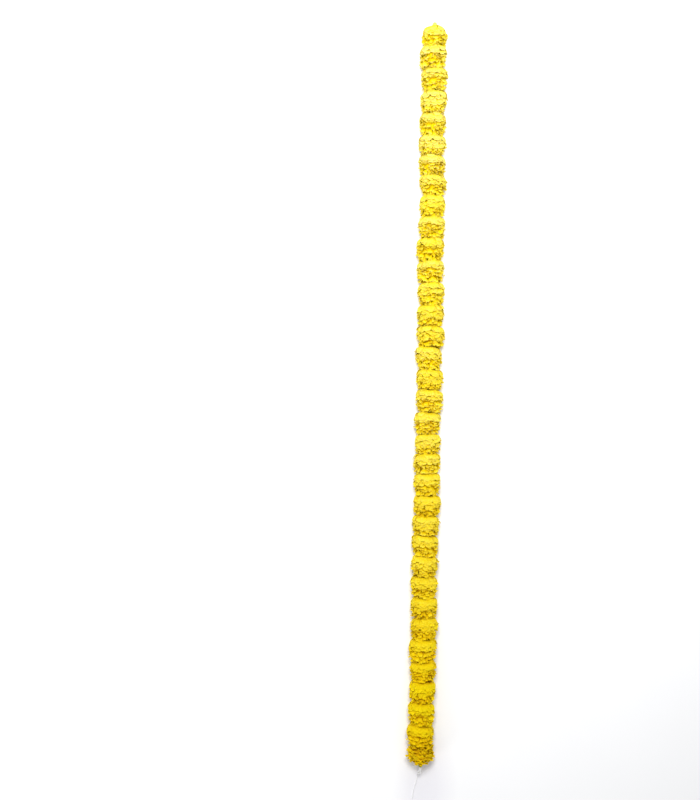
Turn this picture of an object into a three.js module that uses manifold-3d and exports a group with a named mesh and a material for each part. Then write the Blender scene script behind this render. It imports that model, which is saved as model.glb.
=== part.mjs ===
// A marigold garland laid straight on a flat surface: a row of double marigold heads strung through their
// middles on one cotton thread. The thread is knotted above the top head, where it ends in a hanging loop,
// and below the bottom head, where the knot has a small ear and a loose tail.
// Millimetres. +Y runs up the garland to its hanging end, and +Z is up from the surface that it lies on.
import * as THREE from "three";
import { mergeVertices } from "three/addons/utils/BufferGeometryUtils.js";
import Module from "manifold-3d";

const wasm = await Module();
wasm.setup();

// The row of heads
const HEADS = 35;
const PITCH = 43.5; // along the thread, from one head to the next, on the whole
const HEAD_RADIUS = 25.6; // out to the petal tips at the widest whorls
const AXIS_HEIGHT = 22.9; // less than the radius, so each head is pressed flat where it lies
const SEED = 1947;

// One head of the usual pitch. Heights are from its middle, along the thread towards its calyx.
const WHORLS = 6; // rings of petals between the calyx and the face
const PETALS = 8; // petals in a whorl, each half a step round from those of the next whorl
const WHORL_SPAN = 40; // from the tips of the first whorl to those of the last
const BARREL_HALF_HEIGHT = 25; // of the rounded barrel that the tips lie on
const TOP_POWER = 3.1; // how square the barrel of the top head is
const BOTTOM_POWER = 4.1; // squarer, as the lower a head hangs, the more weight squeezes it
const TOP_FREE_POWER = 1.8; // rounder, where no neighbour squeezes the top head
const BOTTOM_FREE_POWER = 1.4; // nearly a cone, under the bottom head
const RECEPTACLE_HEIGHT = 8; // of the point inside the head that all petals spread from
const CREASE_DEPTH = 0.22; // between two whorls, as a share of the way in to that point
const NOTCH_DEPTH = 0.13; // of the radius, between two petals of a whorl

// The ends of a head, from the limit it shares with its neighbour
const CALYX_REACH = 6.75; // of the calyx past the limit, into the neighbour's face
const CALYX_TOP_RADIUS = 3.4;
const BELLY_INSET = 3.25; // of the widest part of the calyx
const BELLY_RADIUS = 6.8;
const CROTCH_INSET = 7.75; // of the place where the petals leave the calyx
const CROTCH_RADIUS = 7.4;
const CALYX_SIDES = 6;
const DIMPLE_INSET = 7.25; // of the hollow in the face that the next calyx is pushed into
const DIMPLE_RADIUS = 6.6;

// How far the heads differ from each other
const SIZE_SPREAD = 0.035;
const PITCH_SPREAD = 0.08;
const TIP_SPREAD = 0.035; // of the radius
const TIP_TURN_SPREAD = 0.07; // radians
const TIP_HEIGHT_SPREAD = 0.7;
const SHIFT_SPREAD = 2.2; // of the petals across the thread, along the surface
const LIFT_SPREAD = 0.5; // of the petals across the thread, up or down
const LEAN_WAVE = 0.05; // slope of a lean that neighbours share
const LEAN_WAVE_HEADS = 9; // heads in one wave of it
const LEAN_SPREAD = 0.018; // slope that is a head's own

// The thread
const THREAD_RADIUS = 0.75;
const HOLE_RADIUS = 1.35;
const THREAD_SIDES = 8;
const THREAD_STEPS = 22; // through the heads, where it is nearly straight
const BOW = 2.8; // sideways, of the laid garland
const BOW_LENGTH = 3200; // of the whole wave that the bow is a part of
const BOW_MIDDLE = -150; // where it is furthest out
const WRIGGLE = 0.8;
const WRIGGLE_LENGTH = 410;
const SEAT_GAP = 0.3; // between pieces that touch
const KNOT_LENGTH = 5.2;
const KNOT_RADIUS = 2.5;
const LAID_DEPTH = THREAD_RADIUS + 0.12 - AXIS_HEIGHT; // of thread lying on the surface, below the axis

const HALF_LENGTH = (HEADS * PITCH) / 2 + CALYX_REACH; // to the outer end of the calyx at each end

const petalYellow = new THREE.MeshStandardMaterial({ color: 0xf2c80f, roughness: 0.8, metalness: 0 });
const cottonWhite = new THREE.MeshStandardMaterial({ color: 0xece8dc, roughness: 0.9, metalness: 0 });

// Numbers from 0 to 1 that are the same on every run.
function seededRandom(seed) {
  let state = seed;
  return () => {
    state = (state + 0x6d2b79f5) | 0;
    let mixed = Math.imul(state ^ (state >>> 15), 1 | state);
    mixed = (mixed + Math.imul(mixed ^ (mixed >>> 7), 61 | mixed)) ^ mixed;
    return ((mixed ^ (mixed >>> 14)) >>> 0) / 4294967296;
  };
}

const random = seededRandom(SEED);
const spread = (amount) => amount * (2 * random() - 1);

// Where the laid thread lies sideways, at a place along the garland.
function threadX(y) {
  const bow = BOW * Math.cos((2 * Math.PI * (y - BOW_MIDDLE)) / BOW_LENGTH);
  const wriggle = WRIGGLE * Math.sin((2 * Math.PI * y) / WRIGGLE_LENGTH + 1);
  return bow + wriggle;
}

// Joins two rings of points with triangles, whatever their counts. A ring of one point is a pole.
function stitch(triangles, from, to) {
  const point = (ring, index) => ring.first + (index % ring.count);
  const fromSteps = from.count === 1 ? 0 : from.count;
  const toSteps = to.count === 1 ? 0 : to.count;
  let i = 0;
  let j = 0;
  while (i < fromSteps || j < toSteps) {
    const stepFrom = j === toSteps || (i < fromSteps && (i + 1) / fromSteps <= (j + 1) / toSteps);
    if (stepFrom) {
      triangles.push(point(from, i), point(from, i + 1), point(to, j));
      i += 1;
    } else {
      triangles.push(point(from, i), point(to, j + 1), point(to, j));
      j += 1;
    }
  }
}

// A closed skin over rings of points. A skin that closes on itself joins its last ring to its first.
function skinOf(rings, closesOnItself) {
  const positions = [];
  const triangles = [];
  const placed = rings.map((ring) => {
    const first = positions.length / 3;
    ring.forEach((p) => positions.push(p.x, p.y, p.z));
    return { first, count: ring.length };
  });
  placed.slice(1).forEach((ring, index) => stitch(triangles, placed[index], ring));
  if (closesOnItself) stitch(triangles, placed[placed.length - 1], placed[0]);
  const geometry = new THREE.BufferGeometry();
  geometry.setAttribute("position", new THREE.BufferAttribute(new Float32Array(positions), 3));
  geometry.setIndex(triangles);
  return geometry;
}

function ringOf(count, place) {
  return Array.from({ length: count }, (_, index) => place((2 * Math.PI * index) / count, index));
}

function solidOf(geometry) {
  const bare = geometry.clone();
  bare.deleteAttribute("normal");
  bare.deleteAttribute("uv");
  const merged = mergeVertices(bare, 1e-4);
  return new wasm.Manifold(
    new wasm.Mesh({
      numProp: 3,
      vertProperties: merged.getAttribute("position").array,
      triVerts: new Uint32Array(merged.getIndex().array),
    }),
  );
}

function geometryOf(solid) {
  const mesh = solid.getMesh();
  const geometry = new THREE.BufferGeometry();
  geometry.setAttribute("position", new THREE.BufferAttribute(mesh.vertProperties, 3));
  geometry.setIndex(new THREE.BufferAttribute(mesh.triVerts, 1));
  geometry.computeVertexNormals();
  return geometry;
}

// The surface under the garland, as a block in the frame of a piece whose middle is on the thread's axis.
function surfaceBlock() {
  const thickness = 10;
  const block = new THREE.BoxGeometry(4 * HEAD_RADIUS, 4 * HEAD_RADIUS, thickness);
  return solidOf(block.translate(0, 0, -AXIS_HEIGHT - thickness / 2));
}

// How far the barrel of petal tips reaches out at a height, with its powers below and above the middle.
function barrelRadius(height, [powerBelow, powerAbove]) {
  const share = Math.abs(height) / BARREL_HALF_HEIGHT;
  const power = height > 0 ? powerAbove : powerBelow;
  return HEAD_RADIUS * Math.pow(1 - Math.pow(share, power), 1 / power);
}

// One head: calyx, whorls of petals with creases between them, dimpled face and the hole for the thread.
// slope is how far the thread moves sideways for each millimetre along it, through this head.
function headGeometry({ powers, pitch, size, turn, shiftX, shiftZ, leanX, leanZ, slope }) {
  const stretch = pitch / PITCH;
  const limit = pitch / 2;
  // The petals lean and shift, more the further out they are, and the hole stays true to the thread.
  const place = (angle, radius, height) => {
    const x = radius * Math.cos(angle + turn);
    const z = radius * Math.sin(angle + turn);
    const give = Math.min(1, Math.max(0, (radius - BELLY_RADIUS) / BELLY_RADIUS));
    const tilted = height + give * (leanX * x + leanZ * z);
    return new THREE.Vector3(x + give * shiftX + slope * tilted, tilted, z + give * shiftZ);
  };
  const plain = (count, radius, height) => ringOf(count, (angle) => place(angle, radius, height));
  const whorlHeight = (whorl) => WHORL_SPAN / 2 - (whorl * WHORL_SPAN) / (WHORLS - 1);
  const tips = (whorl) =>
    ringOf(2 * PETALS, (angle, index) => {
      const isTip = (index + whorl) % 2 === 0;
      const reach = isTip ? 1 + spread(TIP_SPREAD) : 1 - NOTCH_DEPTH + spread(TIP_SPREAD / 2);
      const height = whorlHeight(whorl);
      return place(
        angle + spread(TIP_TURN_SPREAD),
        size * reach * barrelRadius(height, powers),
        stretch * height + spread(TIP_HEIGHT_SPREAD),
      );
    });
  const crease = (whorl) => {
    const [above, below] = [whorlHeight(whorl), whorlHeight(whorl + 1)];
    const height = (above + below) / 2;
    const radius = (barrelRadius(above, powers) + barrelRadius(below, powers)) / 2;
    const inward = RECEPTACLE_HEIGHT + (1 - CREASE_DEPTH) * (height - RECEPTACLE_HEIGHT);
    return plain(2 * PETALS, size * (1 - CREASE_DEPTH) * radius, stretch * inward);
  };
  const petalRings = [];
  for (let whorl = 0; whorl < WHORLS; whorl += 1) {
    petalRings.push(tips(whorl));
    if (whorl < WHORLS - 1) petalRings.push(crease(whorl));
  }
  const rings = [
    plain(CALYX_SIDES, HOLE_RADIUS, limit + CALYX_REACH),
    plain(CALYX_SIDES, CALYX_TOP_RADIUS, limit + CALYX_REACH),
    plain(CALYX_SIDES, BELLY_RADIUS, limit - BELLY_INSET),
    plain(CALYX_SIDES, CROTCH_RADIUS, limit - CROTCH_INSET),
    ...petalRings,
    plain(CALYX_SIDES, DIMPLE_RADIUS, DIMPLE_INSET - limit),
    plain(CALYX_SIDES, HOLE_RADIUS, DIMPLE_INSET - limit),
  ];
  return geometryOf(solidOf(skinOf(rings, true)).subtract(surfaceBlock()));
}

// The limits between heads, from the hanging end down, the two outer ends included.
function headLimits() {
  const shares = Array.from({ length: HEADS }, () => 1 + spread(PITCH_SPREAD));
  const total = shares.reduce((sum, share) => sum + share, 0);
  const limits = [(HEADS * PITCH) / 2];
  shares.forEach((share, index) => limits.push(limits[index] - (HEADS * PITCH * share) / total));
  return limits;
}

// The heads from the hanging end down. All have the calyx up, but the last is turned round, so that a
// calyx closes the garland at both ends.
function marigoldHead(index, top, bottom) {
  const above = threadX(top);
  const below = threadX(bottom);
  const wave = LEAN_WAVE * Math.sin((2 * Math.PI * index) / LEAN_WAVE_HEADS);
  const isLast = index === HEADS - 1;
  const power = TOP_POWER + ((BOTTOM_POWER - TOP_POWER) * index) / (HEADS - 1);
  const freePower = isLast ? BOTTOM_FREE_POWER : TOP_FREE_POWER;
  const geometry = headGeometry({
    powers: [power, index === 0 || isLast ? freePower : power],
    pitch: top - bottom,
    size: 1 + spread(SIZE_SPREAD),
    turn: random() * 2 * Math.PI,
    shiftX: spread(SHIFT_SPREAD),
    shiftZ: spread(LIFT_SPREAD),
    leanX: isLast ? 0 : wave + spread(LEAN_SPREAD),
    leanZ: isLast ? 0 : spread(LEAN_SPREAD),
    slope: (above - below) / (top - bottom),
  });
  const head = new THREE.Mesh(geometry, petalYellow);
  head.name = `marigold_head_${String(index + 1).padStart(2, "0")}`;
  head.position.set((above + below) / 2, (top + bottom) / 2, AXIS_HEIGHT);
  head.rotation.z = isLast ? Math.PI : 0;
  return head;
}

// A round thread along a curve, closed at both ends.
function threadAlong(curve, steps) {
  const section = new THREE.Shape();
  section.absarc(0, 0, THREAD_RADIUS, 0, 2 * Math.PI, false);
  return new THREE.ExtrudeGeometry(section, {
    curveSegments: THREAD_SIDES / 2,
    steps,
    extrudePath: curve,
  });
}

// The thread's own line through the heads.
class StrungLine extends THREE.Curve {
  getPoint(share, target = new THREE.Vector3()) {
    const y = HALF_LENGTH * (1 - 2 * share);
    return target.set(threadX(y), y, AXIS_HEIGHT);
  }
}

function strungThread() {
  const thread = new THREE.Mesh(threadAlong(new StrungLine(), THREAD_STEPS), cottonWhite);
  thread.name = "thread_through_heads";
  return thread;
}

// An overhand knot drawn tight: a short ridged barrel whose ridges twist round it.
function knotGeometry() {
  const sides = 8;
  const stations = [
    [0.04, 0.55],
    [0.22, 0.95],
    [0.42, 0.86],
    [0.6, 1],
    [0.8, 0.9],
    [0.96, 0.5],
  ];
  const twist = 1.1; // radians from one end to the other
  const ridge = 0.14;
  const rings = stations.map(([share, width]) =>
    ringOf(sides, (angle, index) => {
      const radius = KNOT_RADIUS * width * (index % 2 ? 1 - ridge : 1);
      const turned = angle + twist * share;
      const y = KNOT_LENGTH * (0.5 - share);
      return new THREE.Vector3(radius * Math.cos(turned), y, radius * Math.sin(turned));
    }),
  );
  const pole = (y) => [new THREE.Vector3(0, y, 0)];
  return skinOf([pole(KNOT_LENGTH / 2), ...rings, pole(-KNOT_LENGTH / 2)], false);
}

// Routes are from a knot's outer end: x sideways, y away from the garland and z down from the axis.
const LOOP_ROUTE = [
  [1.15, 0, 0],
  [1.3, 3.5, -0.7],
  [2.1, 7.4, -4.6],
  [3.2, 10.4, -10.6],
  [4.4, 13.4, -16.8],
  [5.5, 17.4, -21.2],
  [6.4, 22.2, LAID_DEPTH],
  [6.5, 26.8, LAID_DEPTH],
  [4.6, 31.2, LAID_DEPTH],
  [0.3, 33.2, LAID_DEPTH],
  [-4.1, 31, LAID_DEPTH],
  [-6.1, 26.4, LAID_DEPTH],
  [-6, 21.8, LAID_DEPTH],
  [-5.1, 17, -21.1],
  [-4.1, 13.1, -16.7],
  [-3, 10.2, -10.5],
  [-2, 7.3, -4.6],
  [-1.3, 3.5, -0.7],
  [-1.15, 0, 0],
];
const TAIL_ROUTE = [
  [-1.2, 0, -0.3],
  [-1.4, 3.6, -1],
  [-2, 7, -3.6],
  [-2.7, 9.6, -8.2],
  [-3.2, 11.8, -13],
  [-3.7, 14.4, -17.6],
  [-4.4, 18, -20.9],
  [-5.2, 23.2, LAID_DEPTH],
  [-6.2, 28.5, LAID_DEPTH],
  [-7.4, 34.5, LAID_DEPTH],
  [-9, 40.5, LAID_DEPTH],
  [-10.8, 46.5, LAID_DEPTH],
  [-12.4, 52.5, LAID_DEPTH],
  [-13.4, 58.5, LAID_DEPTH],
  [-13.8, 64, LAID_DEPTH],
  [-14, 69, LAID_DEPTH],
];
const EAR_ROUTE = [
  [0.8, -1.4, 0.3],
  [1.2, 1.8, 0.4],
  [0.8, 5.2, -0.6],
  [-0.4, 8.4, -2.6],
  [-2.4, 10.4, -4.2],
  [-4.4, 9.6, -4.2],
  [-4.9, 7, -2.4],
  [-3.8, 3.9, 0.4],
  [-1.8, 0.8, 1.9],
  [-0.6, -1.4, 1.2],
];
const KNOT_MIDDLE = HALF_LENGTH + SEAT_GAP + KNOT_LENGTH / 2;
const KNOT_OUTER_END = KNOT_MIDDLE + KNOT_LENGTH / 2 + SEAT_GAP;

// A curve by a route from the outer end of the top knot, or of the bottom one, where y points down.
function routeCurve(route, end, start = KNOT_OUTER_END) {
  const points = route.map(
    ([x, y, z]) => new THREE.Vector3(threadX(end * HALF_LENGTH) + x, end * (start + y), AXIS_HEIGHT + z),
  );
  return new THREE.CatmullRomCurve3(points, false, "centripetal");
}

function hangingLoop() {
  const loop = new THREE.Mesh(threadAlong(routeCurve(LOOP_ROUTE, 1), 24), cottonWhite);
  loop.name = "thread_hanging_loop";
  return loop;
}

function looseTail() {
  const tail = new THREE.Mesh(threadAlong(routeCurve(TAIL_ROUTE, -1), 19), cottonWhite);
  tail.name = "thread_tail";
  return tail;
}

function knot(name, end) {
  const mesh = new THREE.Mesh(knotGeometry(), cottonWhite);
  mesh.name = name;
  mesh.position.set(threadX(end * HALF_LENGTH), end * KNOT_MIDDLE, AXIS_HEIGHT);
  return mesh;
}

// The bottom knot holds a short doubled bight of thread, which sticks out of it as an ear.
function bottomKnot() {
  const mesh = knot("knot_bottom", -1);
  const ear = threadAlong(routeCurve(EAR_ROUTE, -1), 10);
  ear.translate(-mesh.position.x, -mesh.position.y, -mesh.position.z);
  mesh.geometry = geometryOf(solidOf(mesh.geometry).add(solidOf(ear)));
  return mesh;
}

const limits = headLimits();
const heads = limits.slice(1).map((bottom, index) => marigoldHead(index, limits[index], bottom));
const strung = [...heads, strungThread()];
const tied = [knot("knot_top", 1), hangingLoop(), bottomKnot(), looseTail()];

// The origin is under the middle of the strung heads, on the surface.
const laid = new THREE.Group();
laid.add(...strung);
const box = new THREE.Box3().setFromObject(laid, true);
laid.add(...tied);
laid.position.set(-(box.min.x + box.max.x) / 2, -(box.min.y + box.max.y) / 2, 0);

const garland = new THREE.Group();
garland.add(laid);

export default garland;
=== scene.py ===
"""A marigold garland laid straight on a pale surface: heads of ruffled petals on one cotton thread.

The garland's own sizes are in millimetres, as a florist measures them, and MM turns them into metres.
Those of the camera, the lamps, the surface and the materials are in metres. +Y runs up the garland to
its hanging end, and +Z is up from the surface that it lies on.
"""

import math
import random

import bmesh
import bpy
import numpy as np
from mathutils import Matrix, Vector


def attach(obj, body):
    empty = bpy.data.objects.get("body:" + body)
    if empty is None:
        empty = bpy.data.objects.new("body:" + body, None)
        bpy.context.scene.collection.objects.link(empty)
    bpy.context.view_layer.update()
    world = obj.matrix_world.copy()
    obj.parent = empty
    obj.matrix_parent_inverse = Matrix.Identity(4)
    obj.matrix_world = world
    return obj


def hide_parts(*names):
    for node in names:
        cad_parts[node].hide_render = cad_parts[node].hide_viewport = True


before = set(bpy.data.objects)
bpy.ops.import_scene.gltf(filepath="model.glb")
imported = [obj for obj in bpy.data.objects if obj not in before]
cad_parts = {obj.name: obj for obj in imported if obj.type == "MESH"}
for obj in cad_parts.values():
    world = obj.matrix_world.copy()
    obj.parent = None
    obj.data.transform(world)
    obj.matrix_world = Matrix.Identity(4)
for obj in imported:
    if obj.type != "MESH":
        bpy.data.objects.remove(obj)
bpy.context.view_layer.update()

MM = 0.001

# The row of heads, as the frame has it
HEADS = 35
PITCH = 43.5  # from one head to the next
HEAD_RADIUS = 25.6
AXIS_HEIGHT = 22.9  # of the thread above the surface
ROW_SEED = 1947
SIZE_SPREAD = 0.035  # share by which heads are larger or smaller
PITCH_SPREAD = 0.08  # share by which they are farther apart or closer
SHIFT_SPREAD = 2.2  # how far they stand to one side of the thread
LIFT_SPREAD = 0.5  # and how far above or under it
LEAN_WAVE = 0.05  # how far they lean, as a slope, in waves along the row
LEAN_WAVE_HEADS = 9
LEAN_SPREAD = 0.018
TIP_DRAWS = 6 * 16 * 3  # numbers that each head of the frame draws for its petal tips
SIDEWAYS = -1.4608  # of the thread's line, which puts the row's middle over the origin

# The thread's line
BOW = 2.8  # sideways
BOW_LENGTH = 3200
BOW_MIDDLE = -150
WRIGGLE = 0.8
WRIGGLE_LENGTH = 410
WRIGGLE_START = 1
THREAD_RADIUS = 0.75
CALYX_REACH = 6.75  # from the row's end to the cut stalk
SEAT_GAP = 0.3  # between a knot and what it touches
KNOT_LENGTH = 5.2
LAID_GAP = 0.12  # under a thread that lies on the surface
LAID_DEPTH = THREAD_RADIUS + LAID_GAP - AXIS_HEIGHT
HALF_LENGTH = HEADS * PITCH / 2 + CALYX_REACH
KNOT_MIDDLE = HALF_LENGTH + SEAT_GAP + KNOT_LENGTH / 2
KNOT_OUTER_END = KNOT_MIDDLE + KNOT_LENGTH / 2 + SEAT_GAP

# Routes start at a knot's outer end: x is sideways, y away from the garland and z up from the axis.
LOOP_ROUTE = [
    (1.15, 0, 0), (1.3, 3.5, -0.7), (2.1, 7.4, -4.6), (3.2, 10.4, -10.6), (4.4, 13.4, -16.8),
    (5.5, 17.4, -21.2), (6.4, 22.2, LAID_DEPTH), (6.5, 26.8, LAID_DEPTH), (4.6, 31.2, LAID_DEPTH),
    (0.3, 33.2, LAID_DEPTH), (-4.1, 31, LAID_DEPTH), (-6.1, 26.4, LAID_DEPTH),
    (-6, 21.8, LAID_DEPTH), (-5.1, 17, -21.1), (-4.1, 13.1, -16.7), (-3, 10.2, -10.5),
    (-2, 7.3, -4.6), (-1.3, 3.5, -0.7), (-1.15, 0, 0),
]
TAIL_ROUTE = [
    (-1.2, 0, -0.3), (-1.4, 3.6, -1), (-2, 7, -3.6), (-2.7, 9.6, -8.2), (-3.2, 11.8, -13),
    (-3.7, 14.4, -17.6), (-4.4, 18, -20.9), (-5.2, 23.2, LAID_DEPTH), (-6.2, 28.5, LAID_DEPTH),
    (-7.4, 34.5, LAID_DEPTH), (-9, 40.5, LAID_DEPTH), (-10.8, 46.5, LAID_DEPTH),
    (-12.4, 52.5, LAID_DEPTH), (-13.4, 58.5, LAID_DEPTH), (-13.8, 64, LAID_DEPTH),
    (-14, 69, LAID_DEPTH),
]
EAR_ROUTE = [
    (0.8, -1.4, 0.3), (1.2, 1.8, 0.4), (0.8, 5.2, -0.6), (-0.4, 8.4, -2.6), (-2.4, 10.4, -4.2),
    (-4.4, 9.6, -4.2), (-4.9, 7, -2.4), (-3.8, 3.9, 0.4), (-1.8, 0.8, 1.9), (-0.6, -1.4, 1.2),
]


# Selecting and editing by hand

def select_only(*chosen):
    bpy.ops.object.select_all(action="DESELECT")
    for piece in chosen:
        piece.select_set(True)
    bpy.context.view_layer.objects.active = chosen[0]


def start_editing(piece):
    select_only(piece)
    bpy.ops.object.mode_set(mode="EDIT")


def stop_editing():
    bpy.ops.object.mode_set(mode="OBJECT")


def pick(piece, wanted):
    """Selects the vertices of the piece in edit mode that wanted(vertex) is true for."""
    cage = bmesh.from_edit_mesh(piece.data)
    for part in (*cage.faces, *cage.edges, *cage.verts):
        part.select_set(False)
    for vertex in cage.verts:
        if wanted(vertex):
            vertex.select_set(True)
    cage.select_flush(True)
    bmesh.update_edit_mesh(piece.data)


def nudge(y, z=0.0):
    bpy.ops.transform.translate(value=(0, y, z))


def widen(x, y, z):
    bpy.ops.transform.resize(value=(x, y, z), center_override=(0, 0, 0))


def bend_up(degrees, centre):
    """Turns what is selected round the X axis, so that what lies towards +Y goes up."""
    bpy.ops.transform.rotate(value=-math.radians(degrees), orient_axis="X", center_override=centre)


def apply_modifier(piece, kind, **settings):
    select_only(piece)
    modifier = piece.modifiers.new(kind.lower(), kind)
    for name, value in settings.items():
        setattr(modifier, name, value)
    bpy.ops.object.modifier_apply(modifier=modifier.name)


def points_of(mesh):
    flat = np.empty(len(mesh.vertices) * 3, np.float32)
    mesh.vertices.foreach_get("co", flat)
    return flat.reshape(-1, 3)


def set_points(mesh, points):
    mesh.vertices.foreach_set("co", np.ascontiguousarray(points, np.float32).ravel())
    mesh.update()


def copy_of(piece, name):
    """A copy with its own mesh."""
    copied = piece.copy()
    copied.data = piece.data.copy()
    copied.name = copied.data.name = name
    bpy.context.scene.collection.objects.link(copied)
    return copied


def paint(piece, material):
    piece.data.materials.clear()
    piece.data.materials.append(material)


# The camera, straight above the garland, a little to its left

SCALE = 0.002065  # metres of the row to one pixel of the picture
PICTURE_HEIGHT = 800
CAMERA_HEIGHT = 2.2  # above the thread
CAMERA_TURN = math.radians(1.2)
CAMERA_LEFT = 0.1611
CAMERA_DOWN = 0.0107
SENSOR = 36.0  # millimetres wide
FARTHEST_SEEN = 50


def set_up_camera():
    right = Vector((math.cos(CAMERA_TURN), math.sin(CAMERA_TURN), 0))
    up = Vector((-math.sin(CAMERA_TURN), math.cos(CAMERA_TURN), 0))
    height = CAMERA_HEIGHT + AXIS_HEIGHT * MM
    place = -CAMERA_LEFT * right - CAMERA_DOWN * up + Vector((0, 0, height))
    bpy.ops.object.camera_add(location=place, rotation=(0, 0, CAMERA_TURN))
    camera = bpy.context.object
    camera.name = "camera_above"
    camera.data.sensor_width = SENSOR
    camera.data.lens = SENSOR * CAMERA_HEIGHT / (PICTURE_HEIGHT * SCALE)
    camera.data.clip_end = FARTHEST_SEEN
    bpy.context.scene.camera = camera


set_up_camera()


# Materials

# A petal from its claw to its lip; its deep claw gold is partly its own colour and partly painted shade
# deep between the petals
CLAW_GOLD_AND_PAINTED_SHADE = (0.64, 0.32, 0.001)
LOWER_GOLD = (0.82, 0.52, 0.001)
UPPER_YELLOW = (0.90, 0.63, 0.002)
LIP_YELLOW = (0.94, 0.71, 0.004)
# What tints it
DEEP_GOLD = (0.85, 0.52, 0.001)
PATCH_YELLOW = (0.92, 0.72, 0.004)
# Painted light: the yellow that petals are painted towards at the hanging end, and the lemon of their
# outer lips there
PAINTED_LIGHT_YELLOW = (0.95, 0.77, 0.004)
PAINTED_LIGHT_LEMON = (0.94, 0.77, 0.19)
VEIN_GOLD = (0.76, 0.5, 0.002)
# The calyx, the cotton and the surface
CALYX_DARK = (0.13, 0.19, 0.012)
CALYX_GREEN = (0.24, 0.31, 0.02)
CALYX_LIGHT = (0.42, 0.46, 0.04)
CALYX_LINES = (0.08, 0.12, 0.008)
CALYX_PAINTED_LIGHT = (0.62, 0.68, 0.12)
COTTON_CREAM = (0.96, 0.955, 0.945)
COTTON_WHITE = (0.99, 0.99, 0.985)
FUZZ_SHADE = (0.82, 0.81, 0.78)
SURFACE_LOWER = (0.935, 0.935, 0.94)
SURFACE_UPPER = (0.95, 0.95, 0.955)
SURFACE_SHADED = (0.85, 0.84, 0.875)

# Painted shade: the surface is painted darker in an oval round the loose end, with this middle and these
# half sizes.
LOOSE_END_SHADE = (0.012, -0.815)  # middle of the faint shade that the loose end lies in
SHADE_HALF_SIZE = (0.07, 0.13)

# Painted light: from here up the garland its petals and calyx are painted paler, to their palest at the
# next place.
PAINTED_LIGHT_FROM = -0.6  # along the garland
PAINTED_LIGHT_FULL_AT = 0.62


def node(tree, kind, inputs=None, **settings):
    """A node with its settings, and values or links for its inputs by name or number."""
    made = tree.nodes.new(kind)
    for name, value in settings.items():
        setattr(made, name, value)
    for name, value in (inputs or {}).items():
        if isinstance(value, bpy.types.NodeSocket):
            tree.links.new(value, made.inputs[name])
        else:
            made.inputs[name].default_value = value
    return made


def ramp(tree, factor, *stops):
    """A colour ramp: each stop is a place and a colour."""
    made = node(tree, "ShaderNodeValToRGB", {"Fac": factor})
    band = made.color_ramp
    while len(band.elements) < len(stops):
        band.elements.new(0.5)
    for element, (place, colour) in zip(band.elements, stops):
        element.position = place
        element.color = (*colour, 1)
    return made.outputs["Color"]


def blend(tree, factor, first, second):
    """The first colour where the factor is 0 and the second where it is 1."""
    made = node(tree, "ShaderNodeMix", data_type="RGBA")
    for socket, value in ((made.inputs[0], factor), (made.inputs[6], first), (made.inputs[7], second)):
        if isinstance(value, bpy.types.NodeSocket):
            tree.links.new(value, socket)
        elif socket is made.inputs[0]:
            socket.default_value = value
        else:
            socket.default_value = (*value, 1)
    return made.outputs[2]


def stretch(tree, value, low, high, to_low=0.0, to_high=1.0):
    """A value brought from between low and high to between two others, and held there."""
    made = node(tree, "ShaderNodeMapRange", {"Value": value, "From Min": low, "From Max": high,
                                             "To Min": to_low, "To Max": to_high})
    return made.outputs["Result"]


def times(tree, first, second):
    return node(tree, "ShaderNodeMath", {0: first, 1: second}, operation="MULTIPLY").outputs[0]


def between(tree, share, first, last):
    """A share from 0 to 1 brought to between two values."""
    return stretch(tree, share, 0.0, 1.0, first, last)


def new_group(name, inputs, outputs):
    """A shader node group with named sockets, its input node and its output node."""
    tree = bpy.data.node_groups.new(name, "ShaderNodeTree")
    for socket_name, kind, value in inputs:
        socket = tree.interface.new_socket(socket_name, in_out="INPUT", socket_type=kind)
        if value is not None:
            socket.default_value = value
    for socket_name, kind in outputs:
        tree.interface.new_socket(socket_name, in_out="OUTPUT", socket_type=kind)
    return tree, tree.nodes.new("NodeGroupInput").outputs, tree.nodes.new("NodeGroupOutput").inputs


def patches_group():
    """Soft uneven patches of tint with a fine grain over them."""
    tree, given, result = new_group(
        "soft_patches",
        [("Place", "NodeSocketVector", None), ("Patch Scale", "NodeSocketFloat", 30.0),
         ("Grain Scale", "NodeSocketFloat", 900.0)],
        [("Patches", "NodeSocketFloat"), ("Grain", "NodeSocketFloat")],
    )
    broad = node(tree, "ShaderNodeTexNoise", {"Vector": given["Place"], "Scale": given["Patch Scale"],
                                              "Detail": 3.0, "Roughness": 0.55})
    fine = node(tree, "ShaderNodeTexNoise", {"Vector": given["Place"], "Scale": given["Grain Scale"],
                                             "Detail": 2.0, "Roughness": 0.6})
    tree.links.new(stretch(tree, broad.outputs["Fac"], 0.34, 0.66), result["Patches"])
    tree.links.new(stretch(tree, fine.outputs["Fac"], 0.3, 0.7), result["Grain"])
    return tree


def lengthwise_lines_group():
    """Fine lines that run along a petal, a calyx or a thread, by its own UV map."""
    tree, given, result = new_group(
        "lengthwise_lines",
        [("Along", "NodeSocketVector", None), ("Lines", "NodeSocketFloat", 14.0),
         ("Wander", "NodeSocketFloat", 0.6)],
        [("Lines", "NodeSocketFloat")],
    )
    parts = node(tree, "ShaderNodeSeparateXYZ", {"Vector": given["Along"]})
    across = times(tree, parts.outputs["X"], given["Lines"])
    along = times(tree, parts.outputs["Y"], given["Wander"])
    drawn = node(tree, "ShaderNodeCombineXYZ", {"X": across, "Y": along})
    noise = node(tree, "ShaderNodeTexNoise", {"Vector": drawn.outputs[0], "Scale": 1.0, "Detail": 3.0,
                                              "Roughness": 0.5})
    tree.links.new(stretch(tree, noise.outputs["Fac"], 0.35, 0.65), result["Lines"])
    return tree


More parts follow.
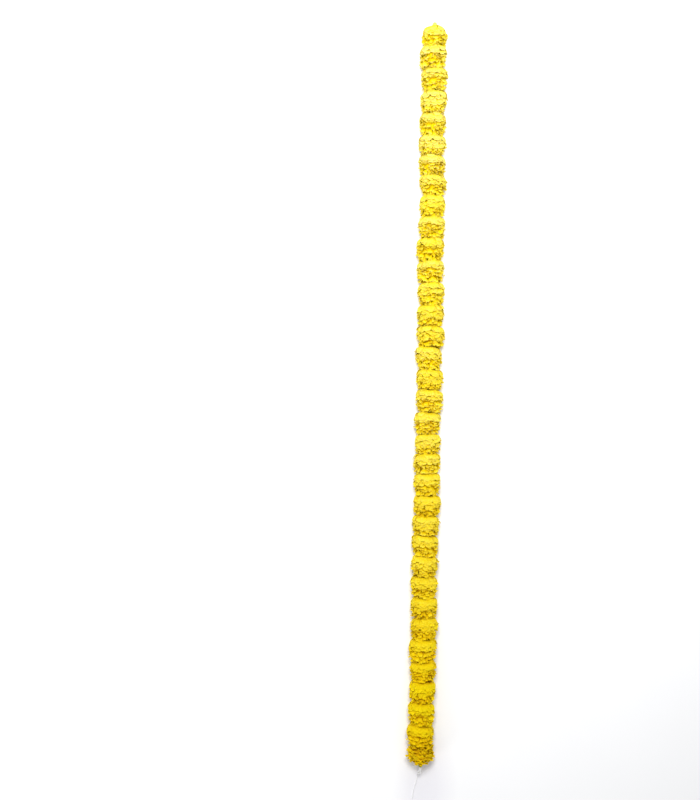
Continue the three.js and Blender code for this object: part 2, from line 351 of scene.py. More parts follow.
def painted_light_upwards_group():
    """Painted light: how much paler the garland is painted towards its hanging end, as if more light fell
    on it there.
    """
    tree, given, result = new_group("painted_light_upwards", [("Place", "NodeSocketVector", None)],
                                    [("Share", "NodeSocketFloat")])
    up = node(tree, "ShaderNodeSeparateXYZ", {"Vector": given["Place"]}).outputs["Y"]
    tree.links.new(stretch(tree, up, PAINTED_LIGHT_FROM, PAINTED_LIGHT_FULL_AT), result["Share"])
    return tree


soft_patches = patches_group()
lengthwise_lines = lengthwise_lines_group()
painted_light_upwards = painted_light_upwards_group()


def new_material(name, **constants):
    """A material with its Principled shader, whose plain values are set on its own sockets."""
    material = bpy.data.materials.new(name)
    material.use_nodes = True
    tree = material.node_tree
    shader = tree.nodes["Principled BSDF"]
    for socket, value in constants.items():
        shader.inputs[socket.replace("_", " ")].default_value = value
    return material, tree, shader


def placed_group(tree, group, **inputs):
    """The outputs of a group that is placed in a material with its own values."""
    made = node(tree, "ShaderNodeGroup", node_tree=group)
    for name, value in inputs.items():
        socket = made.inputs[name.replace("_", " ")]
        if isinstance(value, bpy.types.NodeSocket):
            tree.links.new(value, socket)
        else:
            socket.default_value = value
    return made.outputs


def relief(tree, shader, height, strength, distance):
    """Lets a height stand out from what the shader covers."""
    bump = node(tree, "ShaderNodeBump", {"Height": height, "Strength": strength, "Distance": distance})
    tree.links.new(bump.outputs["Normal"], shader.inputs["Normal"])


def petal_material():
    """Golden at the claw, partly as painted shade between the petals, and yellow at the lip, finely
    veined, each petal a little different; towards the hanging end painted paler, with lemon lips, as
    painted light.
    """
    material, tree, shader = new_material(
        "marigold_petal", Sheen_Weight=0.08, Sheen_Roughness=0.5, Sheen_Tint=(1, 0.8, 0.15, 1),
        Specular_IOR_Level=0.03, Subsurface_Weight=0.3, Subsurface_Radius=(1.0, 0.8, 0.08),
        Subsurface_Scale=0.003)
    coordinates = node(tree, "ShaderNodeTexCoord").outputs
    along = node(tree, "ShaderNodeSeparateXYZ", {"Vector": coordinates["UV"]}).outputs["Y"]
    body = ramp(tree, along, (0.0, CLAW_GOLD_AND_PAINTED_SHADE), (0.42, LOWER_GOLD), (0.72, UPPER_YELLOW), (1.0, LIP_YELLOW))
    tone = node(tree, "ShaderNodeAttribute", attribute_name="tone").outputs["Fac"]
    toned = blend(tree, between(tree, tone, 0.6, 0.0), body, DEEP_GOLD)
    patches = placed_group(tree, soft_patches, Place=coordinates["Object"], Patch_Scale=26.0,
                           Grain_Scale=700.0)
    mottled = blend(tree, between(tree, patches["Patches"], 0.0, 0.22), toned, PATCH_YELLOW)
    # Painted light: paler towards the hanging end, and lemon at the outer lips of the petals there.
    paler = placed_group(tree, painted_light_upwards, Place=coordinates["Object"])["Share"]
    yellow = blend(tree, between(tree, paler, 0.0, 0.85), mottled, PAINTED_LIGHT_YELLOW)
    near_lip = stretch(tree, along, 0.5, 0.95)
    lemon_tone = between(tree, tone, 0.3, 1.0)
    outer = times(tree, near_lip, lemon_tone)
    lemon = blend(tree, times(tree, paler, outer), yellow, PAINTED_LIGHT_LEMON)
    lines = placed_group(tree, lengthwise_lines, Along=coordinates["UV"], Lines=16.0, Wander=1.1)["Lines"]
    veined = blend(tree, between(tree, lines, 0.15, 0.0), lemon, VEIN_GOLD)
    tree.links.new(veined, shader.inputs["Base Color"])
    tree.links.new(between(tree, patches["Grain"], 0.55, 0.75), shader.inputs["Roughness"])
    relief(tree, shader, lines, strength=0.5, distance=0.0004)
    return material


def calyx_material():
    """Mottled green with lengthwise lines, painted paler towards the garland's hanging end as painted
    light.
    """
    material, tree, shader = new_material("marigold_calyx", Specular_IOR_Level=0.35, Sheen_Weight=0.1)
    coordinates = node(tree, "ShaderNodeTexCoord").outputs
    patches = placed_group(tree, soft_patches, Place=coordinates["Object"], Patch_Scale=160.0,
                           Grain_Scale=1500.0)
    body = ramp(tree, patches["Patches"], (0.0, CALYX_DARK), (0.55, CALYX_GREEN), (1.0, CALYX_LIGHT))
    lines = placed_group(tree, lengthwise_lines, Along=coordinates["UV"], Lines=40.0, Wander=1.5)["Lines"]
    lined = blend(tree, between(tree, lines, 0.35, 0.0), body, CALYX_LINES)
    # Painted light: paler towards the hanging end.
    paler = placed_group(tree, painted_light_upwards, Place=coordinates["Object"])["Share"]
    pale = blend(tree, between(tree, paler, 0.0, 0.7), lined, CALYX_PAINTED_LIGHT)
    tree.links.new(pale, shader.inputs["Base Color"])
    tree.links.new(between(tree, patches["Grain"], 0.5, 0.7), shader.inputs["Roughness"])
    relief(tree, shader, lines, strength=0.4, distance=0.0003)
    return material


def cotton_material():
    """White cotton, a little creamy in places, with fuzz."""
    material, tree, shader = new_material("white_cotton", Sheen_Weight=0.4, Specular_IOR_Level=0.2)
    place = node(tree, "ShaderNodeTexCoord").outputs["Object"]
    patches = placed_group(tree, soft_patches, Place=place, Patch_Scale=90.0, Grain_Scale=2600.0)
    body = ramp(tree, patches["Patches"], (0.0, COTTON_CREAM), (1.0, COTTON_WHITE))
    fuzzy = blend(tree, between(tree, patches["Grain"], 0.1, 0.0), body, FUZZ_SHADE)
    tree.links.new(fuzzy, shader.inputs["Base Color"])
    tree.links.new(between(tree, patches["Grain"], 0.75, 0.95), shader.inputs["Roughness"])
    relief(tree, shader, patches["Grain"], strength=0.5, distance=0.0002)
    return material


def surface_material():
    """The pale matt surface under the garland, with a faint painted shade round its loose end."""
    material, tree, shader = new_material("pale_surface", Specular_IOR_Level=0.1)
    place = node(tree, "ShaderNodeTexCoord").outputs["Object"]
    patches = placed_group(tree, soft_patches, Place=place, Patch_Scale=3.0, Grain_Scale=400.0)
    body = ramp(tree, patches["Patches"], (0.0, SURFACE_LOWER), (1.0, SURFACE_UPPER))
    # Painted shade: darker in an oval round the loose end.
    from_middle = node(tree, "ShaderNodeVectorMath", {0: place, 1: (*LOOSE_END_SHADE, 0)},
                       operation="SUBTRACT").outputs[0]
    in_shade = node(tree, "ShaderNodeVectorMath", {0: from_middle, 1: (*SHADE_HALF_SIZE, 1)},
                    operation="DIVIDE").outputs[0]
    outwards = node(tree, "ShaderNodeVectorMath", {0: in_shade}, operation="LENGTH").outputs["Value"]
    shaded = blend(tree, stretch(tree, outwards, 1.0, 0.35), body, SURFACE_SHADED)
    tree.links.new(shaded, shader.inputs["Base Color"])
    tree.links.new(between(tree, patches["Grain"], 0.85, 0.95), shader.inputs["Roughness"])
    return material


marigold_petal = petal_material()
marigold_calyx = calyx_material()
white_cotton = cotton_material()
pale_surface = surface_material()


# Cotton thread: three plies twisted together

PLIES = 3
PLY_OUTLINE = (1.15, 1.1, 0.9, 1.1)  # shares of the thread's radius, at four points round each ply
PLY_TURN = 4.2  # along the thread, for one whole turn of a ply
THREAD_STEP = 0.5  # between the rings of a thread
KNOT_STEP = 0.35
CURVE_PARTS = 24  # between two given points of a thread's route


def thread_x(y):
    """Where the laid thread lies sideways at a place along the garland, in millimetres."""
    bow = BOW * math.cos(2 * math.pi * (y - BOW_MIDDLE) / BOW_LENGTH)
    return SIDEWAYS + bow + WRIGGLE * math.sin(2 * math.pi * y / WRIGGLE_LENGTH + WRIGGLE_START)


def smooth_line(points, step=THREAD_STEP):
    """Even points along a centripetal curve through the given ones, in millimetres."""
    given = [Vector(point) for point in points]
    given = [2 * given[0] - given[1], *given, 2 * given[-1] - given[-2]]
    dense = [given[1]]
    for before, start, end, after in zip(given, given[1:], given[2:], given[3:]):
        lead, span, trail = (math.sqrt((b - a).length)
                             for a, b in ((before, start), (start, end), (end, after)))
        leaving = span * ((start - before) / lead - (end - before) / (lead + span)
                          + (end - start) / span)
        arriving = span * ((end - start) / span - (after - start) / (span + trail)
                           + (after - end) / trail)
        for part in range(1, CURVE_PARTS + 1):
            t = part / CURVE_PARTS
            dense.append((2 * t**3 - 3 * t**2 + 1) * start + (t**3 - 2 * t**2 + t) * leaving
                         + (3 * t**2 - 2 * t**3) * end + (t**3 - t**2) * arriving)
    line = np.array(dense)
    reached = np.concatenate([[0], np.cumsum(np.linalg.norm(np.diff(line, axis=0), axis=1))])
    even = np.linspace(0, reached[-1], max(2, round(reached[-1] / step) + 1))
    return np.stack([np.interp(even, reached, line[:, axis]) for axis in range(3)], axis=1)


def from_knot(route, end):
    """A route's points in the frame, from the outer end of the top knot or of the bottom one."""
    middle = thread_x(end * HALF_LENGTH)
    return [(middle + x, end * (KNOT_OUTER_END + y), AXIS_HEIGHT + z) for x, y, z in route]


def laid_line(route, end):
    """The even points of a free thread, which lies on the surface and never under it."""
    line = smooth_line(from_knot(route, end))
    line[:, 2] = np.maximum(line[:, 2], AXIS_HEIGHT + LAID_DEPTH)
    return line


def thread_section():
    """The outline of three round plies side by side, as the section of a thread."""
    bpy.ops.curve.primitive_bezier_circle_add(radius=1)
    section = bpy.context.object
    section.name = "thread_section"
    section.data.splines.clear()
    outline = section.data.splines.new("POLY")
    corners = len(PLY_OUTLINE) * PLIES
    outline.points.add(corners - 1)
    for index, point in enumerate(outline.points):
        angle = 2 * math.pi * index / corners
        radius = THREAD_RADIUS * MM * PLY_OUTLINE[index % len(PLY_OUTLINE)]
        point.co = (radius * math.cos(angle), radius * math.sin(angle), 0, 1)
    outline.use_cyclic_u = True
    return section


def twisted_thread(name, line):
    """A thread along a line in millimetres, made a mesh."""
    curve = bpy.data.curves.new(name, "CURVE")
    curve.dimensions = "3D"
    curve.bevel_mode = "OBJECT"
    curve.bevel_object = cotton_section
    curve.use_fill_caps = True
    spline = curve.splines.new("POLY")
    spline.points.add(len(line) - 1)
    reached = 0.0
    for index, (point, place) in enumerate(zip(spline.points, line)):
        reached += float(np.linalg.norm(place - line[max(0, index - 1)]))
        point.co = (*(place * MM), 1)
        point.tilt = 2 * math.pi * reached / PLY_TURN
    thread = bpy.data.objects.new(name, curve)
    bpy.context.scene.collection.objects.link(thread)
    select_only(thread)
    bpy.ops.object.convert(target="MESH")
    thread = bpy.context.object
    thread.name = thread.data.name = name
    bpy.ops.object.shade_smooth()
    paint(thread, white_cotton)
    return thread


def lay_free_thread(name, node_name, line):
    """A thread that leaves a knot and lies loose on the surface."""
    thread = twisted_thread(name, line)
    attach(thread, "root")
    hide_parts(node_name)


cotton_section = thread_section()
lay_free_thread("hanging_loop", "thread_hanging_loop", laid_line(LOOP_ROUTE, 1))
lay_free_thread("loose_tail", "thread_tail", laid_line(TAIL_ROUTE, -1))


# Knots: turns of thread drawn tight, with the thread's own end crossed over them

WRAPS = 2.6
WRAP_RADIUS = 1.55
WRAP_LENGTH = 3.9  # of all turns, along the garland
WRAP_START = -0.9  # the angle that they start at, in radians
WRAP_POINTS = 26
# The strand that crosses over the turns, on the side seen from above
CROSSING_ROUTE = [
    (-0.5, -2.5, 0.3), (-1.5, -1.7, 1.5), (-0.9, -0.6, 2.15), (0.5, 0.6, 2.2), (1.4, 1.6, 1.5),
    (0.7, 2.4, 0.4),
]


def knotted_line(route, end):
    """Even points along a route that is given from a knot's middle, in the frame."""
    middle = Vector((thread_x(end * HALF_LENGTH), end * KNOT_MIDDLE, AXIS_HEIGHT))
    return smooth_line([middle + Vector((x, end * y, z)) for x, y, z in route], KNOT_STEP)


def wound_line(end):
    """The thread's way round in a knot."""
    wound = [(0.2, -2.55, 0.1), (0.9, -2.35, -0.5)]
    for index in range(WRAP_POINTS + 1):
        share = index / WRAP_POINTS
        angle = WRAP_START + 2 * math.pi * WRAPS * share
        along = -WRAP_LENGTH / 2 + WRAP_LENGTH * share
        wound.append((WRAP_RADIUS * math.cos(angle), along, WRAP_RADIUS * math.sin(angle)))
    wound.extend([(-0.6, 2.3, -0.9), (0.2, 2.5, 0.0)])
    return knotted_line(wound, end)


def tie_knot(name, node_name, end, *extra_lines):
    """A knot and any bights that stick out of it, as one piece."""
    strands = [twisted_thread(name, wound_line(end)),
               twisted_thread(name + "_crossing", knotted_line(CROSSING_ROUTE, end))]
    strands += [twisted_thread(name + "_bight", line) for line in extra_lines]
    select_only(*strands)
    bpy.ops.object.join()
    tied = strands[0]
    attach(tied, "root")
    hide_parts(node_name)


tie_knot("knot_above", "knot_top", 1)
tie_knot("knot_below", "knot_bottom", -1, smooth_line(from_knot(EAR_ROUTE, -1)))
bpy.data.objects.remove(cotton_section)

strung_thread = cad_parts["thread_through_heads"]
paint(strung_thread, white_cotton)


# Petals, each modelled once: a claw at the origin, the length along +Y and the upper face to +Z

COLUMNS = 8  # across a petal
NARROWEST_ROW = 0.01  # of a petal's width
PETAL_THICKNESS = 0.2
PETAL_SMOOTH_UNDER = math.radians(75)

# Roof petals arch from the calyx over the head's shoulder, side petals turn down over the ones below
# them, and fringe petals show their frilled lips. For each petal: width; the heights of its rows; how
# wide each row is; upward bends at the rows after the first, in degrees; then the ruffles of its lip:
# waves across it, how high they go, where they start and how deep the lip is cut between them.
ROOF_PETALS = [
    (15.4, (0, 6.6, 12.2, 17.2, 21.6, 26.2), (0, 0.66, 0.9, 1.0, 1.0, 0.9), (36, 24, 40, 18),
     (1.6, 0.55, 0.1, 1.0)),
    (16.2, (0, 6.6, 12.4, 17.6, 22.0, 26.8), (0, 0.68, 0.92, 1.0, 0.98, 0.84), (34, 28, 36, 22),
     (1.9, 0.5, 0.45, 0.9)),
    (14.6, (0, 6.6, 12.0, 16.8, 21.2, 25.6), (0, 0.68, 0.92, 1.0, 1.0, 0.88), (38, 22, 36, 16),
     (1.4, 0.65, 0.7, 1.1)),
    (15.8, (0, 6.8, 12.6, 17.4, 21.8, 26.2), (0, 0.66, 0.9, 1.0, 0.98, 0.86), (32, 30, 34, 14),
     (1.7, 0.55, 0.85, 0.9)),
]
SIDE_PETALS = [
    (10.8, (0, 5.6, 10.4, 15.4), (0, 0.86, 1.0, 0.98), (24, 38), (1.6, 0.7, 0.2, 0.9)),
    (10.4, (0, 5.6, 10.0, 14.6), (0, 0.9, 1.0, 1.0), (18, 46), (1.4, 0.8, 0.55, 1.0)),
    (11.4, (0, 5.4, 10.6, 16.2), (0, 0.84, 1.0, 0.96), (26, 32), (1.8, 0.65, 0.9, 0.8)),
    (10.8, (0, 5.6, 10.2, 15.0), (0, 0.88, 1.0, 1.0), (12, 54), (1.5, 0.75, 0.35, 0.9)),
]
FRINGE_PETALS = [
    (8.8, (0, 5.8, 9.6, 13.0), (0, 0.86, 1.0, 1.0), (-10, -26), (1.5, 1.0, 0.1, 0.8)),
    (8.0, (0, 6.0, 9.6, 12.8), (0, 0.9, 1.0, 1.0), (12, 30), (1.3, 1.1, 0.4, 0.9)),
    (9.4, (0, 5.8, 9.8, 13.2), (0, 0.84, 1.0, 1.0), (-4, 14), (1.7, 1.0, 0.75, 0.9)),
    (8.4, (0, 6.0, 9.4, 12.6), (0, 0.9, 1.0, 1.0), (20, 36), (1.6, 0.9, 0.9, 0.8)),
    (7.8, (0, 5.8, 9.4, 12.6), (0, 0.92, 1.0, 1.0), (-16, -38), (1.2, 1.2, 0.6, 0.9)),
]
RUFFLE_RISE = 1.6  # power of the way along a petal, by which its ruffles grow towards the lip
BROAD_WAVES = 0.6  # slower waves in a lip for each of its ruffles
BROAD_HEIGHT = 0.5  # of a ruffle's height
LIP_CUTS = 1.2  # cuts in a lip for each of its ruffles
LIP_CORNER = 0.2  # how much the corners of a lip are rounded off, as a share of the petal's width
TROUGH = 0.9  # of a petal's sides above its middle


def lip_ruffle(share, ruffles, height, start):
    """How far a lip goes up or down, at a share of the way across it."""
    close = math.sin(2 * math.pi * (ruffles * share + start))
    broad = math.sin(2 * math.pi * (BROAD_WAVES * ruffles * share + 3 * start))
    return height * (close + BROAD_HEIGHT * broad)


def lip_cut(share, width, ruffles, start, cut):
    """How far a lip is cut back, at a share of the way across it."""
    notched = 0.5 - 0.5 * math.cos(2 * math.pi * (LIP_CUTS * ruffles * share + 2 * start))
    return LIP_CORNER * width * abs(2 * share - 1) ** 3 + cut * notched


def model_petal(name, width, heights, widths, bends, lip):
    """A grid drawn out to a petal row by row, ruffled and cut at its lip, bent and thickened."""
    ruffles, height, start, cut = lip
    rows = len(heights) - 1
    bpy.ops.mesh.primitive_grid_add(x_subdivisions=COLUMNS, y_subdivisions=rows, size=1)
    petal = bpy.context.object
    petal.name = name

    def at(vertex):
        """A vertex's row and column."""
        return divmod(vertex.index, COLUMNS + 1)

    start_editing(petal)
    bpy.ops.mesh.select_all(action="SELECT")
    nudge(y=0.5)  # so that its lower edge is at the origin
    widen(width * MM, heights[-1] * MM, 1)
    for row, (row_height, row_width) in enumerate(zip(heights, widths)):
        pick(petal, lambda v: at(v)[0] == row)
        nudge(y=(row_height - heights[-1] * row / rows) * MM)
        widen(max(row_width, NARROWEST_ROW), 1, 1)
    for column in range(COLUMNS + 1):
        across = column / COLUMNS
        for row in range(1, rows + 1):
            along = (row / rows) ** RUFFLE_RISE
            lift = lip_ruffle(across, ruffles, height, start) * along
            trough = TROUGH * (2 * across - 1) ** 2 * (1 - along / 2)
            cut_back = lip_cut(across, width, ruffles, start, cut) * along**2
            pick(petal, lambda v: at(v) == (row, column))
            nudge(y=-cut_back * MM, z=(lift + trough) * MM)
    for row, bend in enumerate(bends, start=1):
        turned_at = [v.co.copy() for v in bmesh.from_edit_mesh(petal.data).verts if at(v)[0] == row]
        pick(petal, lambda v: at(v)[0] > row)
        bend_up(bend, sum(turned_at, Vector()) / len(turned_at))
    pick(petal, lambda v: at(v)[0] == 0)
    bpy.ops.mesh.merge(type="CENTER")
    stop_editing()
    apply_modifier(petal, "SOLIDIFY", thickness=PETAL_THICKNESS * MM, offset=0, use_quality_normals=True)
    select_only(petal)
    bpy.ops.object.shade_smooth_by_angle(angle=PETAL_SMOOTH_UNDER)
    petal.data.attributes.new("tone", "FLOAT", "POINT")
    paint(petal, marigold_petal)
    return petal


def model_petals(name, kinds):
    return [model_petal(f"{name}_{number}", *kind) for number, kind in enumerate(kinds)]


roof_petals = model_petals("roof_petal", ROOF_PETALS)
side_petals = model_petals("side_petal", SIDE_PETALS)
fringe_petals = model_petals("fringe_petal", FRINGE_PETALS)


# A head: petals all round a heart, along the outline that the frame's head has

BARREL_HALF_HEIGHT = 25
TOP_POWER = 3.1  # how square the barrel of the top head is
BOTTOM_POWER = 4.1
MIDDLE_POWER = (TOP_POWER + BOTTOM_POWER) / 2
TOP_FREE_POWER = 1.8  # rounder, where no neighbour squeezes the top head
BOTTOM_FREE_POWER = 1.4
RECEPTACLE_HEIGHT = 11.5  # where side and fringe petals spread from
# Petals, their slope in degrees, height and radius of their claws and their size, whorl by whorl
ROOF_WHORLS = [(13, 43, 15.5, 6.6, 0.88), (14, 40, 15.0, 6.4, 1.0), (14, 37, 14.5, 6.2, 1.12)]
TOP_ROOF_WHORLS = [(13, 26, 15.5, 6.6, 0.86), (14, 22, 14.8, 6.4, 0.98), (14, 18, 14.1, 6.2, 1.08)]
BOTTOM_ROOF_WHORLS = [(9, -14, 20.3, 5.2, 1.1), (12, -18, 17.0, 8.4, 1.2), (14, -22, 13.4, 12.2, 1.25),
                      (16, -26, 9.6, 15.4, 1.25)]
PETAL_PLACES = 182  # of side and fringe petals together
SIDE_PLACES_A_MM = 4.44  # of the height that side petals cover
SIDE_TOP = 14.0
FRINGE_BOTTOM = -21.2
FRINGE_TOPS = (0.5, 5.5, -4.5, 2.5, -2.0, 7.5)  # where the fringe starts on each kind of head
END_FRINGE_TOP = 0.5  # on the two at the ends
SIDE_REACH = 9.4
FRINGE_REACH = 11.2
SIDE_SPREAD = (-1.0, 1.2)  # how far lips stand out past the outline, and stay inside it
FRINGE_SPREAD = (-2.0, 1.8)
RIM_HEIGHT = -14  # under which lips hang down over the next head
RIM_DROOP = 2.6
DROOP = 0.8  # how far lips hang down elsewhere
LIFT = 0.8  # how far they stand up
FACE_EDGE = [(-21.8, 18.0), (-21.8, 14.0), (-18.5, 8.6)]  # heights and radii, round the hollow face
PETAL_SIZES = (0.92, 1.08)  # the smallest and the largest of a kind
GOLDEN_TURN = math.radians(137.508)
TURN_SPREAD = 0.12  # radians to either side of it
ROOF_STAGGER = 0.2  # of the step from one roof petal to the next
ROOF_SLOPES = (-6, 4)  # degrees less and more than the whorl's slope
# How far petals twist round their length and how far they tilt, in radians
ROOF_SWAY = (0.12, 0.04)
SIDE_SWAY = (0.22, 0.08)
FRINGE_SWAY = (0.5, 0.18)

FIRST_SEED = 100  # of the kinds of head
TOP_SEED = 200
BOTTOM_SEED = 201

HEART_RADIUS = 17.5
HEART_HALF_HEIGHT = 17
# Heights from and to, and how much wider the heart is between them
HEART_BANDS = [(-14, -4, 1.06), (4, 16, 1.18)]
HEART_PALEST = 0.85  # towards the calyx, as a share of the way along a petal
HEART_PALEST_HEIGHT = 8

# From golden, 0, to lemon, 1
ROOF_TONES = (0.6, 1.0)
SIDE_TONES = (0.4, 0.9)
FRINGE_TONES = (0.0, 0.7)
BOTTOM_ROOF_TONES = (0.0, 0.6)

OUTLINE_POINTS = 24
AREA_STEPS = 600  # in which the area round an outline is added up


def barrel_radius(height, power_below, power_above):
    """How far petals reach out at a height, or at each of an array of heights."""
    power = np.where(height > 0, power_above, power_below)
    return HEAD_RADIUS * (1 - (np.abs(height) / BARREL_HALF_HEIGHT) ** power) ** (1 / power)


def head_outline(top, bottom, powers):
    """Heights and radii that petals reach, from one height of the barrel down to another."""
    heights = np.linspace(top, bottom, OUTLINE_POINTS)
    return list(zip(heights, barrel_radius(heights, *powers)))


def places_on(outline, count):
    """Places along an outline, as close together as the area round it asks."""
    corners = np.array(outline)
    along = np.linspace(0, len(corners) - 1, AREA_STEPS)
    fine = np.stack([np.interp(along, range(len(corners)), corners[:, i]) for i in (0, 1)], axis=1)
    steps = np.linalg.norm(np.diff(fine, axis=0), axis=1)
    area = np.concatenate([[0], np.cumsum(steps * (fine[1:, 1] + fine[:-1, 1]) / 2)])
    wanted = (np.arange(count) + 0.5) / count * area[-1]
    return np.stack([np.interp(wanted, area, fine[:, i]) for i in (0, 1)], axis=1)


def model_heart(name):
    """The close-packed inner petals, as one golden body under the open ones, in claw colours that are
    partly their own and partly painted shade between the petals, paler towards the calyx.
    """
    bpy.ops.mesh.primitive_uv_sphere_add(segments=16, ring_count=10, radius=1,
                                         rotation=(math.pi / 2, 0, 0))
    heart = bpy.context.object
    heart.name = name
    bpy.ops.object.transform_apply(rotation=True)
    start_editing(heart)
    bpy.ops.mesh.select_all(action="SELECT")
    widen(HEART_RADIUS * MM, HEART_HALF_HEIGHT * MM, HEART_RADIUS * MM)
    for low, high, wider in HEART_BANDS:
        pick(heart, lambda v: low * MM < v.co.y < high * MM)
        widen(wider, 1, wider)
    stop_editing()
    # Deep claw gold below, partly painted shade, paler towards the calyx.
    for loop, corner in zip(heart.data.loops, heart.data.uv_layers[0].data):
        share = heart.data.vertices[loop.vertex_index].co.y / (HEART_PALEST_HEIGHT * MM)
        corner.uv.y = HEART_PALEST * min(1, max(0, share))
    bpy.ops.object.shade_smooth()
    heart.data.attributes.new("tone", "FLOAT", "POINT")
    paint(heart, marigold_petal)
    return heart


def grow_petal(kinds, tones, draws, claw, along, angle, sway, size=1.0):
    """A petal in the head: its claw and direction as radius and height, then the angle that it is at."""
    twist, tilt = sway
    outward = Vector((math.cos(angle), 0, math.sin(angle)))
    start = outward * claw[0] + Vector((0, claw[1], 0))
    length = (outward * along[0] + Vector((0, along[1], 0))).normalized()
    upper = Vector((0, -1, 0))
    upper = (upper - length * upper.dot(length)).normalized()
    turned = Matrix((length.cross(upper), length, upper)).transposed().to_4x4()
    twisted = Matrix.Rotation(draws.gauss(0, twist), 4, "Y")
    tilted = Matrix.Rotation(draws.gauss(0, tilt), 4, "X")
    turned @= twisted @ tilted
    sized = Matrix.Scale(size * draws.uniform(*PETAL_SIZES), 4)
    petal = copy_of(draws.choice(kinds), "placed_petal")
    tone = np.full(len(petal.data.vertices), draws.uniform(*tones), np.float32)
    petal.data.attributes["tone"].data.foreach_set("value", tone)
    petal.data.transform(Matrix.Translation(start * MM) @ turned @ sized)
    return petal


def grow_roof(whorls, kinds, tones, draws):
    """Whorls of petals that spread from round the calyx."""
    grown = []
    for count, slope, claw_height, claw_radius, size in whorls:
        first = draws.uniform(0, 2 * math.pi)
        for index in range(count):
            angle = first + 2 * math.pi * (index + draws.uniform(-ROOF_STAGGER, ROOF_STAGGER)) / count
            rise = math.radians(slope + draws.uniform(*ROOF_SLOPES))
            grown.append(grow_petal(kinds, tones, draws, (claw_radius, claw_height),
                                    (math.cos(rise), math.sin(rise)), angle, ROOF_SWAY, size))
    return grown


def grow_along(outline, count, kinds, tones, reach, spread, sway, draws):
    """Petals with their lips along an outline, each a golden turn on from the one before."""
    grown = []
    for index, (height, radius) in enumerate(places_on(outline, count)):
        angle = index * GOLDEN_TURN + draws.uniform(-TURN_SPREAD, TURN_SPREAD)
        droop = RIM_DROOP if height < RIM_HEIGHT else DROOP
        tip = np.array((radius, height - draws.uniform(-LIFT, droop)))
        along = tip - (0, RECEPTACLE_HEIGHT)
        along /= np.linalg.norm(along)
        claw = tip - along * (reach + draws.uniform(*spread))
        grown.append(grow_petal(kinds, tones, draws, claw, along, angle, sway))
    return grown


def model_head(name, seed, fringe_top, free_power=MIDDLE_POWER, roof_whorls=ROOF_WHORLS,
               roof_kinds=roof_petals, roof_tones=ROOF_TONES):
    """A head of the middle of the row, or of an end, with its own roof and power towards its calyx."""
    powers = (MIDDLE_POWER, free_power)
    draws = random.Random(seed)
    heart = model_heart(name)
    parts = [heart, *grow_roof(roof_whorls, roof_kinds, roof_tones, draws)]
    side = head_outline(SIDE_TOP, fringe_top, powers)
    side_places = round((SIDE_TOP - fringe_top) * SIDE_PLACES_A_MM)
    parts += grow_along(side, side_places, side_petals, SIDE_TONES, SIDE_REACH, SIDE_SPREAD, SIDE_SWAY,
                        draws)
    fringe = head_outline(fringe_top, FRINGE_BOTTOM, powers) + FACE_EDGE
    fringe_places = PETAL_PLACES - side_places
    parts += grow_along(fringe, fringe_places, fringe_petals, FRINGE_TONES, FRINGE_REACH, FRINGE_SPREAD,
                        FRINGE_SWAY, draws)
    select_only(*parts)
    bpy.ops.object.join()
    return heart


head_kinds = [model_head(f"head_kind_{number}", FIRST_SEED + number, fringe_top)
              for number, fringe_top in enumerate(FRINGE_TOPS)]
top_head = model_head("head_kind_top", TOP_SEED, END_FRINGE_TOP, TOP_FREE_POWER, TOP_ROOF_WHORLS)
bottom_head = model_head("head_kind_bottom", BOTTOM_SEED, END_FRINGE_TOP, BOTTOM_FREE_POWER,
                         BOTTOM_ROOF_WHORLS, fringe_petals, BOTTOM_ROOF_TONES)
for petal in (*roof_petals, *side_petals, *fringe_petals):
    bpy.data.objects.remove(petal)


# The calyx: a ribbed green cup with pointed teeth that holds the petals

CALYX_SIDES = 20
# Heights above the head's middle and radii, from the thread's hole over the cut stalk down to the teeth
CALYX_RINGS = [(26.5, 1.2), (28.4, 1.3), (28.5, 3.2), (27.8, 3.8), (25.2, 4.9), (21.8, 6.1), (18.5, 6.9),
               (15.6, 7.5), (12.6, 8.2), (11.5, 6.0)]
CALYX_TOP = 2  # the ring at the stalk's cut edge
CALYX_NECK = 3  # the ring under which the ribs start
CALYX_TEETH = 8  # the ring that is notched to teeth
TOOTH_LENGTH = 2.2
RIB_DEPTH = 0.1  # of the radius
CALYX_SMOOTH_UNDER = math.radians(50)


